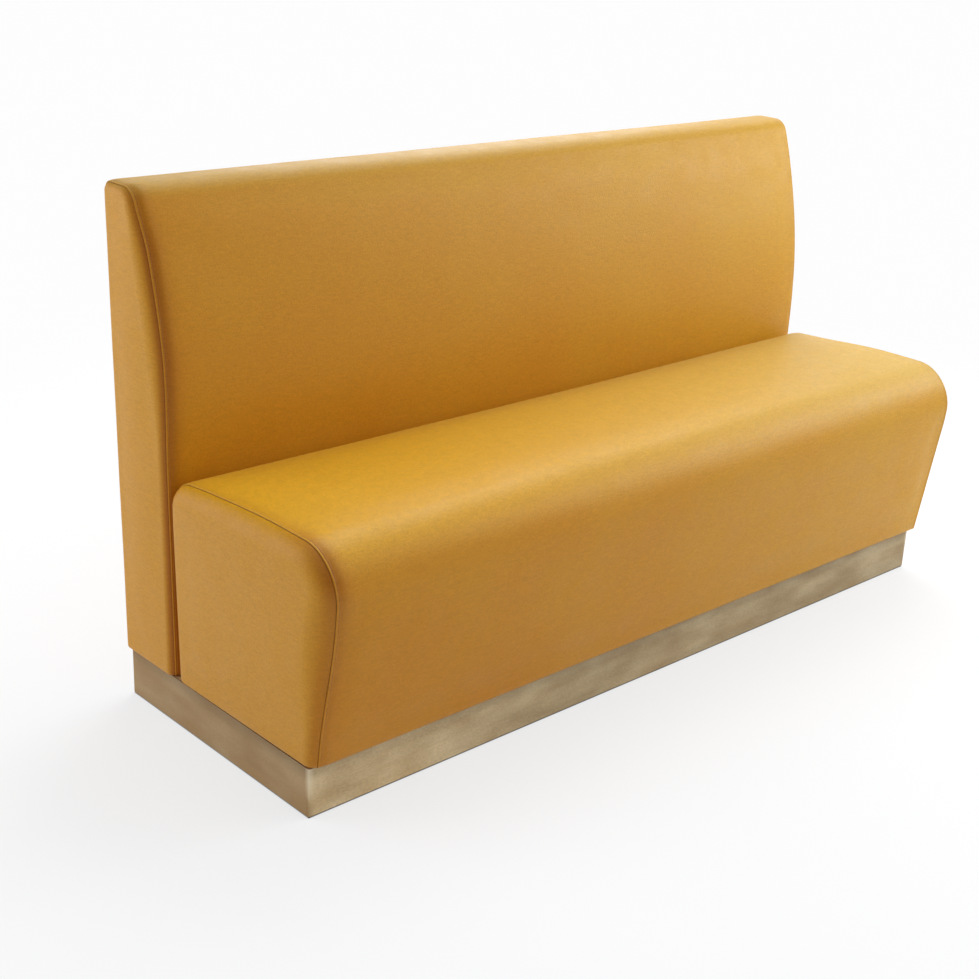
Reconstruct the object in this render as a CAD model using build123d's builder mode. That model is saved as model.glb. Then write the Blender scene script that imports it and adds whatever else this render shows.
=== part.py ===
from build123d import *
import os
from math import cos, radians, sqrt, tan

os.makedirs("parts", exist_ok=True)

# Overall sizes in millimetres: X runs along the bench, the front faces -Y, the floor is z = 0
plinth_length = 1640
plinth_depth = 530
plinth_top = 90
floor_gap = 3
seat_height = 472
overall_height = 928
back_depth = 161
rear_overhang = 14
end_overhang = 4

# Form of the seat cushion
toe_overhang = 11
front_rake = radians(7.5)
nose_radius = 62
crest_setback = 90
crest_drop = 14
seat_rear_round = 28
seat_end_lean = 10
seat_end_round = 22
seat_foot_round = 8

# Form of the back
lean_height = 500
back_top_depth = 82
back_front_round = 36
back_rear_round = 18
back_end_lean = 5
back_end_round = 16
back_foot_round = 6

# Upholstery
cover_thickness = 1.5
fit_gap = 0.3
seat_foam = 75
front_foam = 25
back_foam = 30
top_foam = 25
rear_pad = 6
end_padding = 16
hem_width = 25
seam_share = 0.3

# Timber
rib_board = 18
deck_board = 12
seat_board = 12
back_board = 6
carcass_rail_height = 40
seat_rail_width = 40
plinth_board = 18
cross_rail_width = 45
rib_shares = (-0.25, 0, 0.25)
cross_rail_shares = (-0.375, -0.125, 0.125, 0.375)

# Sheet metal round the plinth
sheet = 1.2
bend_radius = 3
wrap_return = 25

# Levelling feet
stem_radius = 5
stem_length = 66
stem_seat = 4
stem_chamfer = 1
pad_radius = 19
pad_height = 10
pad_edge = 2
collar_width = 17
collar_height = 6
stop_gap = 0.3
nut_flange_radius = 13
nut_flange = 1.5
nut_barrel_radius = 6
nut_barrel = 12
thread_clearance = 0.05
block_length = 60
block_width = 45
block_height = 42

# Screws and bolts
bolt_radius = 4
bolt_head_width = 13
bolt_head = 5.3
bolt_bite = 32
bolt_recess = 32
washer_radius = 10
washer = 1.6
socket_clearance = 1
screw_radius = 2.5
screw_head_radius = 4.5
screw_head = 2.5
screw_bite = 12
screw_spread = 34
deck_screw_radius = 2
deck_screw_head_radius = 4
deck_screw_head = 2.5
deck_screw_bite = 30
deck_screw_shares = (0.15, 0.5, 0.85)
hole_clearance = 0.05

# Cuts run past the faces they open by this much
overrun = 5

# A cushion's end rounding stays this much under the corner roundings that it crosses
round_margin = 2

# Places that follow from the sizes
nose_corner = toe_overhang + tan(front_rake) * (seat_height - plinth_top)
nose_reach = nose_corner + nose_radius - nose_radius / tan((radians(90) - front_rake) / 2)
total_depth = nose_reach + plinth_depth + rear_overhang
plinth_front = nose_reach - total_depth / 2
plinth_rear = plinth_front + plinth_depth
back_rear = plinth_rear + rear_overhang
back_front = back_rear - back_depth
seat_rear = back_front - fit_gap
lean_rise = overall_height - lean_height
lean_run = back_depth - back_top_depth
lean_radius = (lean_rise**2 + lean_run**2) / (2 * lean_run)
half_length = plinth_length / 2
upholstery_end = half_length + end_overhang

upholstery_bottom = plinth_top + fit_gap
carcass_bottom = upholstery_bottom + cover_thickness + fit_gap
rail_top = carcass_bottom + carcass_rail_height
deck_top = seat_height - seat_foam
deck_bottom = deck_top - deck_board

skin = cover_thickness + fit_gap
end_outer = upholstery_end - skin - end_padding - fit_gap
end_inner = end_outer - rib_board
seat_panel_depth = skin + front_foam + fit_gap
seat_panel_rear = seat_rear - skin
seat_frame_rear = seat_panel_rear - seat_board
back_panel_depth = skin + back_foam + fit_gap
back_frame_depth = back_panel_depth + back_board
rear_panel_y = back_rear - skin - rear_pad - fit_gap
back_frame_rear = rear_panel_y - back_board
back_carcass_top = overall_height - skin - top_foam - fit_gap
back_rail_bottom = back_carcass_top - rib_board

rib_places = [share * plinth_length for share in rib_shares]
cross_rail_places = [share * plinth_length for share in cross_rail_shares]
left_right = {"left": -1, "right": 1}


# Plain shapes that several pieces are cut from


def front_line(z, depth=0):
    """Y of the seat's raked front at height z, drawn in by depth."""
    toe = plinth_front - toe_overhang
    return toe - tan(front_rake) * (z - plinth_top) + depth / cos(front_rake)


def lean_line(z, depth=0):
    """Y of the back's front at height z, drawn in by depth."""
    rise = max(z - lean_height, 0)
    return back_front + lean_radius - sqrt((lean_radius - depth) ** 2 - rise**2)


def board(x, y, z):
    """Square-edged board between a pair of limits along each axis."""
    with BuildPart() as piece:
        with BuildSketch(Plane.XY.offset(z[0])):
            with Locations(((x[0] + x[1]) / 2, (y[0] + y[1]) / 2)):
                Rectangle(x[1] - x[0], y[1] - y[0])
        extrude(amount=z[1] - z[0])
    return piece.part


def rods(places, radius, z):
    """Upright round rods at the places, between two heights."""
    with BuildPart() as piece:
        with BuildSketch(Plane.XY.offset(z[0])):
            with Locations(*places):
                Circle(radius)
        extrude(amount=z[1] - z[0])
    return piece.part


def end_slab(half_width, lean, bottom, top):
    """Everything between two ends that lean outwards by lean from bottom to top."""
    with BuildPart() as slab:
        with BuildSketch(Plane.XZ):
            with BuildLine():
                foot = (half_width, bottom)
                head = (half_width + lean, top)
                Polyline((0, top), (0, bottom), foot, head, close=True)
            make_face()
            mirror(about=Plane.YZ)
        extrude(amount=total_depth, both=True)
    return slab.part


def cushion(side, slab, end_round, foot_round):
    """Side outline carried along the bench, cut to its leaning ends and rounded off."""
    with BuildPart() as form:
        extrude(side, amount=plinth_length, both=True)
        add(slab, mode=Mode.INTERSECT)
        ends = form.faces().sort_by(Axis.X)
        rims = [face.edges().sort_by(Axis.Z)[1:] for face in (ends[0], ends[-1])]
        fillet(rims[0] + rims[1], end_round)
        if foot_round > 0:
            fillet(form.faces().sort_by(Axis.Z)[0].edges(), foot_round)
    return form.part


def seat_slab(inset):
    return end_slab(upholstery_end - inset, seat_end_lean, upholstery_bottom, seat_height)


def back_slab(inset):
    return end_slab(upholstery_end - inset, back_end_lean, upholstery_bottom, overall_height)


def seat_form(inset):
    """The seat's outer form drawn in by inset on every side."""
    nose = (front_line(seat_height), seat_height)
    crest = (plinth_front + crest_setback, seat_height)
    rear_top = (seat_rear, seat_height - crest_drop)
    toe = (front_line(upholstery_bottom), upholstery_bottom)
    with BuildSketch(Plane.YZ) as side:
        with BuildLine():
            Polyline(rear_top, (seat_rear, upholstery_bottom), toe, nose, crest)
            TangentArc(crest, rear_top, tangent=(1, 0))
        make_face()
        fillet(side.vertices().sort_by_distance(nose)[0], nose_radius)
        fillet(side.vertices().sort_by_distance(rear_top)[0], seat_rear_round)
        offset(amount=-inset)
    end_round = min(seat_end_round, seat_rear_round - round_margin) - inset
    return cushion(side.sketch, seat_slab(inset), end_round, seat_foot_round - inset)


def back_side(front_depth, rear, bottom, top, plane=Plane.YZ):
    """Side outline of the back between its leaning front, drawn in by a depth, and a rear."""
    with BuildSketch(plane) as side:
        with BuildLine():
            bend = (lean_line(lean_height, front_depth), lean_height)
            tip = (lean_line(top, front_depth), top)
            Polyline(tip, (rear, top), (rear, bottom), (bend[0], bottom), bend)
            TangentArc(bend, tip, tangent=(0, 1))
        make_face()
    return side.sketch


def back_form(inset):
    """The back's outer form drawn in by inset on every side."""
    tip = (lean_line(overall_height), overall_height)
    with BuildSketch(Plane.YZ) as side:
        add(back_side(0, back_rear, upholstery_bottom, overall_height, Plane.XY))
        fillet(side.vertices().sort_by_distance(tip)[0], back_front_round)
        fillet(side.vertices().sort_by_distance((back_rear, overall_height))[0], back_rear_round)
        offset(amount=-inset)
    end_round = min(back_end_round, back_rear_round - round_margin) - inset
    return cushion(side.sketch, back_slab(inset), end_round, back_foot_round - inset)


def lean_band(near, far, bottom, top):
    """Side outline between two depths behind the back's leaning front."""
    with BuildSketch(Plane.YZ) as band:
        with BuildLine():
            for depth in (near, far):
                bend = (lean_line(lean_height, depth), lean_height)
                Line((bend[0], bottom), bend)
                TangentArc(bend, (lean_line(top, depth), top), tangent=(0, 1))
            for z in (bottom, top):
                Line((lean_line(z, near), z), (lean_line(z, far), z))
        make_face()
    return band.sketch


def keep(piece, name):
    piece.part.label = name
    export_step(piece.part, f"parts/{name}.step")


# Levelling feet: pads, stems and nuts in blocks, at the corners and in the middle of both rails

skin_depth = sheet + fit_gap
rail_front = plinth_front + skin_depth
rail_rear = plinth_rear - skin_depth
rail_end = half_length - skin_depth
front_rail_inner = rail_front + plinth_board
rear_rail_inner = rail_rear - plinth_board
end_rail_inner = rail_end - plinth_board
leveller_x = end_rail_inner - block_length / 2
leveller_columns = {"left": -leveller_x, "middle": 0, "right": leveller_x}
leveller_rows = {
    "front": front_rail_inner + block_width / 2,
    "rear": rear_rail_inner - block_width / 2,
}
leveller_places = {
    f"{row}_{column}": (x, y)
    for row, y in leveller_rows.items()
    for column, x in leveller_columns.items()
}
collar_top = pad_height + collar_height
nut_bottom = collar_top + stop_gap
block_bottom = nut_bottom + nut_flange
block_top = block_bottom + block_height
block_mid = block_bottom + block_height / 2

for place, spot in leveller_places.items():
    with BuildPart() as leveller_pad:
        with BuildSketch():
            with Locations(spot):
                Circle(pad_radius)
        extrude(amount=pad_height)
        fillet(leveller_pad.faces().sort_by(Axis.Z)[-1].edges(), pad_edge)
        add(rods([spot], stem_radius + hole_clearance, (stem_seat, pad_height)), mode=Mode.SUBTRACT)
    keep(leveller_pad, f"leveller_pad_{place}")

    with BuildPart() as leveller_stem:
        add(rods([spot], stem_radius, (stem_seat, stem_seat + stem_length)))
        chamfer(leveller_stem.faces().sort_by(Axis.Z)[-1].edges(), stem_chamfer)
        with BuildSketch(Plane.XY.offset(pad_height)):
            with Locations(spot):
                RegularPolygon(collar_width / 2, 6, major_radius=False)
        extrude(amount=collar_height)
    keep(leveller_stem, f"leveller_stem_{place}")

nut_places = list(leveller_places.values())
with BuildPart() as leveller_tee_nuts:
    add(rods(nut_places, nut_flange_radius, (nut_bottom, block_bottom)))
    add(rods(nut_places, nut_barrel_radius, (block_bottom, block_bottom + nut_barrel)))
    bores = rods(nut_places, stem_radius + thread_clearance, (nut_bottom, block_top))
    add(bores, mode=Mode.SUBTRACT)
keep(leveller_tee_nuts, "leveller_tee_nuts")


def block_screws_solid(clearance, heads):
    """Screws through each block into the plinth rail beside it, or the holes they need."""
    with BuildPart() as screws:
        for x, y in nut_places:
            inward = 1 if y < (plinth_front + plinth_rear) / 2 else -1
            head_centre = (x, y + inward * block_width / 2, block_mid)
            head_face = Plane(origin=head_centre, x_dir=(1, 0, 0), z_dir=(0, inward, 0))
            with BuildSketch(head_face):
                with GridLocations(screw_spread, 0, 2, 1):
                    Circle(screw_radius + clearance)
            extrude(amount=-block_width - screw_bite - clearance)
            if heads:
                with BuildSketch(head_face):
                    with GridLocations(screw_spread, 0, 2, 1):
                        Circle(screw_head_radius)
                extrude(amount=screw_head)
    return screws.part


with BuildPart() as block_screws:
    add(block_screws_solid(0, heads=True))
keep(block_screws, "block_screws")
block_screw_holes = block_screws_solid(hole_clearance, heads=False)

with BuildPart() as leveller_blocks:
    with BuildSketch(Plane.XY.offset(block_bottom)):
        with Locations(*nut_places):
            Rectangle(block_length, block_width)
    extrude(amount=block_height)
    socket_z = (block_bottom, block_bottom + nut_barrel)
    sockets = rods(nut_places, nut_barrel_radius + hole_clearance, socket_z)
    add(sockets, mode=Mode.SUBTRACT)
    throats = rods(nut_places, stem_radius + socket_clearance, (block_bottom, block_top))
    add(throats, mode=Mode.SUBTRACT)
    add(block_screw_holes, mode=Mode.SUBTRACT)
keep(leveller_blocks, "leveller_blocks")

# Bolts up through the plinth's cross rails into the seat's and the back's bottom rails

seat_front_rail_y = front_line(carcass_bottom, seat_panel_depth + seat_board) + seat_rail_width / 2
seat_rear_rail_y = seat_frame_rear - seat_rail_width / 2
back_rail_y = (back_front + back_frame_depth + back_frame_rear) / 2
bolt_rows = (seat_front_rail_y, seat_rear_rail_y, back_rail_y)
bolt_places = [(x, y) for x in cross_rail_places for y in bolt_rows]
bolt_seat = floor_gap + bolt_recess
bolt_tip = carcass_bottom + bolt_bite
bolt_holes = rods(bolt_places, bolt_radius + hole_clearance, (bolt_seat, bolt_tip))

with BuildPart() as fixing_bolts:
    with BuildSketch(Plane.XY.offset(bolt_seat - washer - bolt_head)):
        with Locations(*bolt_places):
            RegularPolygon(bolt_head_width / 2, 6, major_radius=False)
    extrude(amount=bolt_head)
    add(rods(bolt_places, bolt_radius, (bolt_seat - washer, bolt_tip)))
keep(fixing_bolts, "fixing_bolts")

with BuildPart() as fixing_washers:
    add(rods(bolt_places, washer_radius, (bolt_seat - washer, bolt_seat)))
    washer_bores = rods(bolt_places, bolt_radius + hole_clearance, (bolt_seat - washer, bolt_seat))
    add(washer_bores, mode=Mode.SUBTRACT)
keep(fixing_washers, "fixing_washers")

# Plinth: a timber frame in a bent metal kick wrap

with BuildPart() as plinth_front_rail:
    add(board((-rail_end, rail_end), (rail_front, front_rail_inner), (floor_gap, plinth_top)))
    corners = plinth_front_rail.edges().filter_by(Axis.Z).group_by(Axis.Y)[0]
    fillet(corners, bend_radius - fit_gap)
    add(block_screw_holes, mode=Mode.SUBTRACT)
keep(plinth_front_rail, "plinth_front_rail")

with BuildPart() as plinth_rear_rail:
    add(board((-rail_end, rail_end), (rear_rail_inner, rail_rear), (floor_gap, plinth_top)))
    corners = plinth_rear_rail.edges().filter_by(Axis.Z).group_by(Axis.Y)[-1]
    fillet(corners, bend_radius - fit_gap)
    add(block_screw_holes, mode=Mode.SUBTRACT)
keep(plinth_rear_rail, "plinth_rear_rail")

for side_name, sign in left_right.items():
    with BuildPart() as plinth_end_rail:
        span = sorted((sign * end_rail_inner, sign * rail_end))
        add(board(span, (front_rail_inner, rear_rail_inner), (floor_gap, plinth_top)))
    keep(plinth_end_rail, f"plinth_end_rail_{side_name}")

with BuildPart() as plinth_cross_rails:
    for x in cross_rail_places:
        span = (x - cross_rail_width / 2, x + cross_rail_width / 2)
        add(board(span, (front_rail_inner, rear_rail_inner), (floor_gap, plinth_top)))
    add(bolt_holes, mode=Mode.SUBTRACT)
    recesses = rods(bolt_places, washer_radius + socket_clearance, (floor_gap, bolt_seat))
    add(recesses, mode=Mode.SUBTRACT)
keep(plinth_cross_rails, "plinth_cross_rails")

with BuildPart() as kick_wrap:
    with BuildSketch(Plane.XY.offset(floor_gap)) as band:
        with BuildLine():
            outer_rear = (half_length - wrap_return, plinth_rear)
            FilletPolyline(
                (-outer_rear[0], plinth_rear),
                (-half_length, plinth_rear),
                (-half_length, plinth_front),
                (half_length, plinth_front),
                (half_length, plinth_rear),
                outer_rear,
                radius=bend_radius + sheet,
            )
            offset(amount=-sheet, side=Side.LEFT)
        make_face()
    extrude(amount=plinth_top - floor_gap)
keep(kick_wrap, "kick_wrap")

with BuildPart() as rear_kick_plate:
    plate_end = half_length - wrap_return - fit_gap
    add(board((-plate_end, plate_end), (plinth_rear - sheet, plinth_rear), (floor_gap, plinth_top)))
keep(rear_kick_plate, "rear_kick_plate")

# Seat frame: what the cover pulls against is rounded off where the padding is

seat_padding = seat_form(skin)

with BuildPart() as seat_front_panel:
    with BuildSketch(Plane.YZ):
        with BuildLine():
            Polyline(
                (front_line(carcass_bottom, seat_panel_depth), carcass_bottom),
                (front_line(carcass_bottom, seat_panel_depth + seat_board), carcass_bottom),
                (front_line(deck_bottom, seat_panel_depth + seat_board), deck_bottom),
                (front_line(deck_bottom, seat_panel_depth), deck_bottom),
                close=True,
            )
        make_face()
    extrude(amount=end_outer, both=True)
keep(seat_front_panel, "seat_front_panel")

with BuildPart() as seat_rear_panel:
    span = (seat_frame_rear, seat_panel_rear)
    add(board((-end_outer, end_outer), span, (carcass_bottom, deck_bottom)))
    add(seat_padding, mode=Mode.INTERSECT)
keep(seat_rear_panel, "seat_rear_panel")

with BuildPart() as seat_front_rail:
    with BuildSketch(Plane.YZ):
        with BuildLine():
            rail_inner = front_line(carcass_bottom, seat_panel_depth + seat_board) + seat_rail_width
            Polyline(
                (front_line(carcass_bottom, seat_panel_depth + seat_board), carcass_bottom),
                (rail_inner, carcass_bottom),
                (rail_inner, rail_top),
                (front_line(rail_top, seat_panel_depth + seat_board), rail_top),
                close=True,
            )
        make_face()
    extrude(amount=end_inner, both=True)
    add(bolt_holes, mode=Mode.SUBTRACT)
keep(seat_front_rail, "seat_front_rail")

with BuildPart() as seat_rear_rail:
    span = (seat_frame_rear - seat_rail_width, seat_frame_rear)
    add(board((-end_inner, end_inner), span, (carcass_bottom, rail_top)))
    add(bolt_holes, mode=Mode.SUBTRACT)
keep(seat_rear_rail, "seat_rear_rail")

rib_front = front_line(deck_bottom, seat_panel_depth + seat_board)
deck_screw_rows = [rib_front + share * (seat_frame_rear - rib_front) for share in deck_screw_shares]
panel_mid = end_outer - rib_board / 2
deck_screw_columns = [-panel_mid] + rib_places + [panel_mid]
deck_screw_places = [(x, y) for x in deck_screw_columns for y in deck_screw_rows]
deck_screw_tip = deck_bottom - deck_screw_bite
deck_screw_holes = rods(
    deck_screw_places, deck_screw_radius + hole_clearance, (deck_screw_tip, deck_top)
)


def seat_rib(x, bottom):
    """Upright rib of the seat from a bottom height to the deck, its left face at x."""
    with BuildPart() as rib:
        with BuildSketch(Plane.YZ.offset(x)):
            with BuildLine():
                Polyline(
                    (front_line(bottom, seat_panel_depth + seat_board), bottom),
                    (seat_frame_rear, bottom),
                    (seat_frame_rear, deck_bottom),
                    (rib_front, deck_bottom),
                    close=True,
                )
            make_face()
        extrude(amount=rib_board)
        add(deck_screw_holes, mode=Mode.SUBTRACT)
    return rib.part


with BuildPart() as seat_ribs:
    for x in rib_places:
        add(seat_rib(x - rib_board / 2, rail_top))
keep(seat_ribs, "seat_ribs")

for side_name, sign in left_right.items():
    with BuildPart() as seat_end_panel:
        add(seat_rib(min(sign * end_inner, sign * end_outer), carcass_bottom))
    keep(seat_end_panel, f"seat_end_panel_{side_name}")

with BuildPart() as seat_deck:
    with BuildSketch(Plane.YZ):
        with BuildLine():
            Polyline(
                (front_line(deck_bottom, seat_panel_depth), deck_bottom),
                (seat_panel_rear, deck_bottom),
                (seat_panel_rear, deck_top),
                (front_line(deck_top, seat_panel_depth), deck_top),
                close=True,
            )
        make_face()
    extrude(amount=end_outer, both=True)
    add(deck_screw_holes, mode=Mode.SUBTRACT)
    sinks = rods(
        deck_screw_places,
        deck_screw_head_radius + hole_clearance,
        (deck_top - deck_screw_head, deck_top),
    )
    add(sinks, mode=Mode.SUBTRACT)
    add(seat_padding, mode=Mode.INTERSECT)
keep(seat_deck, "seat_deck")

with BuildPart() as deck_screws:
    add(rods(deck_screw_places, deck_screw_radius, (deck_screw_tip, deck_top)))
    add(rods(deck_screw_places, deck_screw_head_radius, (deck_top - deck_screw_head, deck_top)))
keep(deck_screws, "deck_screws")

# Seat foam, in four pieces under one cover

across = (-plinth_length, plinth_length)
through = (-total_depth, total_depth)

with BuildPart() as seat_top_foam:
    add(seat_padding)
    add(board(across, through, (deck_top + fit_gap, overall_height)), mode=Mode.INTERSECT)
keep(seat_top_foam, "seat_top_foam")

with BuildPart() as seat_front_foam:
    add(seat_padding)
    with BuildSketch(Plane.YZ):
        with BuildLine():
            Polyline(
                (front_line(plinth_top, skin + front_foam), plinth_top),
                (front_line(deck_top, skin + front_foam), deck_top),
                (-total_depth, deck_top),
                (-total_depth, plinth_top),
                close=True,
            )
        make_face()
    extrude(amount=end_outer, both=True, mode=Mode.INTERSECT)
keep(seat_front_foam, "seat_front_foam")

for side_name, sign in left_right.items():
    with BuildPart() as seat_end_foam:
        add(seat_padding)
        span = sorted((sign * (end_outer + fit_gap), sign * plinth_length))
        add(board(span, through, (plinth_top, deck_top)), mode=Mode.INTERSECT)
    keep(seat_end_foam, f"seat_end_foam_{side_name}")

# Seat cover: a long wrap and two end panels sewn to it, turned in underneath as a stapled hem


def cover_pieces(outer, inner, slab, opening, name):
    """Exports a wrap and two end covers, parted at the seams that the slab's ends follow."""
    with BuildPart() as shell:
        add(outer)
        add(inner, mode=Mode.SUBTRACT)
        add(opening, mode=Mode.SUBTRACT)
    with BuildPart() as wrap:
        add(shell.part)
        add(slab(fit_gap), mode=Mode.INTERSECT)
    keep(wrap, f"{name}_cover")
    for side_name, sign in left_right.items():
        with BuildPart() as end_cover:
            add(shell.part)
            add(slab(0), mode=Mode.SUBTRACT)
            half = board(sorted((0, sign * plinth_length)), through, (0, overall_height + overrun))
            add(half, mode=Mode.INTERSECT)
        keep(end_cover, f"{name}_end_cover_{side_name}")


hem_x = (hem_width - upholstery_end, upholstery_end - hem_width)
hem_z = (upholstery_bottom - overrun, upholstery_bottom + cover_thickness + fit_gap / 2)
seat_hem_y = (front_line(upholstery_bottom) + hem_width, seat_rear - hem_width)
seat_seam = seam_share * seat_end_round
cover_pieces(
    seat_form(0),
    seat_form(cover_thickness),
    lambda gap: seat_slab(seat_seam + gap),
    board(hem_x, seat_hem_y, hem_z),
    "seat",
)

# Back frame

with BuildPart() as back_bottom_rail:
    span = (back_front + back_frame_depth, back_frame_rear)
    add(board((-end_inner, end_inner), span, (carcass_bottom, rail_top)))
    add(bolt_holes, mode=Mode.SUBTRACT)
keep(back_bottom_rail, "back_bottom_rail")

with BuildPart() as back_ribs:
    for x in rib_places:
        start = Plane.YZ.offset(x - rib_board / 2)
        side = back_side(back_frame_depth, back_frame_rear, rail_top, back_rail_bottom, start)
        extrude(side, amount=rib_board)
keep(back_ribs, "back_ribs")

for side_name, sign in left_right.items():
    with BuildPart() as back_end_rib:
        start = Plane.YZ.offset(min(sign * end_inner, sign * end_outer))
        side = back_side(back_frame_depth, back_frame_rear, carcass_bottom, back_rail_bottom, start)
        extrude(side, amount=rib_board)
    keep(back_end_rib, f"back_end_rib_{side_name}")

with BuildPart() as back_top_rail:
    with BuildSketch(Plane.YZ):
        with BuildLine():
            front_edge = (lean_line(back_rail_bottom, back_frame_depth), back_rail_bottom)
            front_top = (lean_line(back_carcass_top, back_frame_depth), back_carcass_top)
            rear_top = (back_frame_rear, back_carcass_top)
            Polyline(front_top, rear_top, (back_frame_rear, back_rail_bottom), front_edge, close=True)
        make_face()
    extrude(amount=end_outer, both=True)
keep(back_top_rail, "back_top_rail")

with BuildPart() as back_front_panel:
    panel_band = lean_band(back_panel_depth, back_frame_depth, carcass_bottom, back_carcass_top)
    extrude(panel_band, amount=end_outer, both=True)
keep(back_front_panel, "back_front_panel")

with BuildPart() as back_rear_panel:
    span = (back_frame_rear, rear_panel_y)
    add(board((-end_outer, end_outer), span, (carcass_bottom, back_carcass_top)))
keep(back_rear_panel, "back_rear_panel")

# Back foam, in five pieces under one cover

back_padding = back_form(skin)

with BuildPart() as back_front_foam:
    add(back_padding)
    foam_band = lean_band(0, skin + back_foam, plinth_top, back_carcass_top)
    extrude(foam_band, amount=end_outer, both=True, mode=Mode.INTERSECT)
keep(back_front_foam, "back_front_foam")

with BuildPart() as back_top_foam:
    add(back_padding)
    above = (back_carcass_top + fit_gap, overall_height)
    add(board(across, through, above), mode=Mode.INTERSECT)
keep(back_top_foam, "back_top_foam")

with BuildPart() as back_rear_foam:
    add(back_padding)
    behind = (rear_panel_y + fit_gap, total_depth)
    add(board((-end_outer, end_outer), behind, (plinth_top, back_carcass_top)), mode=Mode.INTERSECT)
keep(back_rear_foam, "back_rear_foam")

for side_name, sign in left_right.items():
    with BuildPart() as back_end_foam:
        add(back_padding)
        span = sorted((sign * (end_outer + fit_gap), sign * plinth_length))
        add(board(span, through, (plinth_top, back_carcass_top)), mode=Mode.INTERSECT)
    keep(back_end_foam, f"back_end_foam_{side_name}")

# Back cover: front, top and rear in one wrap, with an end panel sewn to each end

back_hem_y = (back_front + hem_width, back_rear - hem_width)
back_seam = seam_share * back_end_round
cover_pieces(
    back_form(0),
    back_form(cover_thickness),
    lambda gap: back_slab(back_seam + gap),
    board(hem_x, back_hem_y, hem_z),
    "back",
)
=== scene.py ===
import math

import bmesh
import bpy
import numpy as np
from mathutils import Matrix, Vector
from mathutils.kdtree import KDTree


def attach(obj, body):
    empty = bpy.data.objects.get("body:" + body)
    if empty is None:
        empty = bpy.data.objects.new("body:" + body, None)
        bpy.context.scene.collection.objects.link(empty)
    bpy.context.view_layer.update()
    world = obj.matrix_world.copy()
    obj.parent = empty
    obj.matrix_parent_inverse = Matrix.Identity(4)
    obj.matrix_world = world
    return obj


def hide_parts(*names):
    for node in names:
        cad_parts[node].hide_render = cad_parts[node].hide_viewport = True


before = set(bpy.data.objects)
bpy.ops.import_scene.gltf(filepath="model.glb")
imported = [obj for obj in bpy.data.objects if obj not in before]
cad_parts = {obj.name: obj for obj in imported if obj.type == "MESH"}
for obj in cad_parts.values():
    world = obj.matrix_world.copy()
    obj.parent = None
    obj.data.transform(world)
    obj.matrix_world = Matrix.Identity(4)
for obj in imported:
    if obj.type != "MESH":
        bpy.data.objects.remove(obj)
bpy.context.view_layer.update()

MM = 0.001
scene = bpy.context.scene

# Camera: solved from the photograph's plinth edges and end outlines

CAMERA_PLACE = (-2.1421, -2.0298, 1.4362)
CAMERA_YAW = math.radians(43.337)
CAMERA_PITCH = math.radians(21.303)
CAMERA_ROLL = math.radians(2.678)
CAMERA_LENS = 59.6


def make_camera():
    ahead, aside = math.cos(CAMERA_YAW), math.sin(CAMERA_YAW)
    level = math.cos(CAMERA_PITCH)
    forward = Vector((aside * level, ahead * level, -math.sin(CAMERA_PITCH)))
    right = Vector((ahead, -aside, 0))
    up = right.cross(forward)
    turned_right = math.cos(CAMERA_ROLL) * right + math.sin(CAMERA_ROLL) * up
    turned_up = math.cos(CAMERA_ROLL) * up - math.sin(CAMERA_ROLL) * right
    data = bpy.data.cameras.new("camera")
    data.lens = CAMERA_LENS
    data.sensor_width = 36
    data.clip_end = 200
    camera = bpy.data.objects.new("camera", data)
    scene.collection.objects.link(camera)
    turn = Matrix((turned_right, turned_up, -forward)).transposed().to_4x4()
    camera.matrix_world = Matrix.Translation(CAMERA_PLACE) @ turn
    scene.camera = camera


make_camera()

# Materials

HALF_PLINTH = 0.82
PLINTH_FRONT = -0.2457
PLINTH_REAR = 0.2843


def empty_tree(owner):
    """The node tree of a material or a world, with no nodes in it."""
    owner.use_nodes = True
    owner.node_tree.nodes.clear()
    return owner.node_tree


def feed(tree, made, inputs):
    """Sets a node's inputs to values, or links them to sockets."""
    for key, value in dict(inputs).items():
        if isinstance(value, bpy.types.NodeSocket):
            tree.links.new(value, made.inputs[key])
        else:
            made.inputs[key].default_value = value


def node(tree, kind, inputs=(), **settings):
    """A new node with its settings and inputs."""
    made = tree.nodes.new(kind)
    for key, value in settings.items():
        setattr(made, key, value)
    feed(tree, made, inputs)
    return made


def new_material(name):
    """A material that holds a Principled shader and an output alone."""
    material = bpy.data.materials.new(name)
    tree = empty_tree(material)
    shader = node(tree, "ShaderNodeBsdfPrincipled")
    node(tree, "ShaderNodeOutputMaterial", {"Surface": shader.outputs["BSDF"]})
    return material, tree, shader


def object_place(tree):
    return node(tree, "ShaderNodeTexCoord").outputs["Object"]


def stretched(tree, place, scale):
    """The place, scaled by three factors."""
    made = node(tree, "ShaderNodeMapping", {"Vector": place, "Scale": scale})
    return made.outputs["Vector"]


def split_up(tree, vector):
    """The x, y and z of a vector."""
    made = node(tree, "ShaderNodeSeparateXYZ", {"Vector": vector})
    return [made.outputs[axis] for axis in "XYZ"]


def noise(tree, place, scale, detail=3, roughness=0.5, distortion=0.0):
    inputs = {"Vector": place, "Scale": scale, "Detail": detail}
    inputs.update({"Roughness": roughness, "Distortion": distortion})
    return node(tree, "ShaderNodeTexNoise", inputs).outputs["Fac"]


def ramp(tree, value, low, high, to_low, to_high):
    """A value mapped from one range to another, and kept inside it."""
    inputs = {"Value": value, "From Min": low, "From Max": high}
    inputs.update({"To Min": to_low, "To Max": to_high})
    return node(tree, "ShaderNodeMapRange", inputs, clamp=True).outputs["Result"]


def math_node(tree, operation, first, second=0.5):
    made = node(tree, "ShaderNodeMath", {0: first, 1: second}, operation=operation)
    return made.outputs[0]


def times(tree, first, second):
    return math_node(tree, "MULTIPLY", first, second)


def plus(tree, first, second):
    return math_node(tree, "ADD", first, second)


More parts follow.
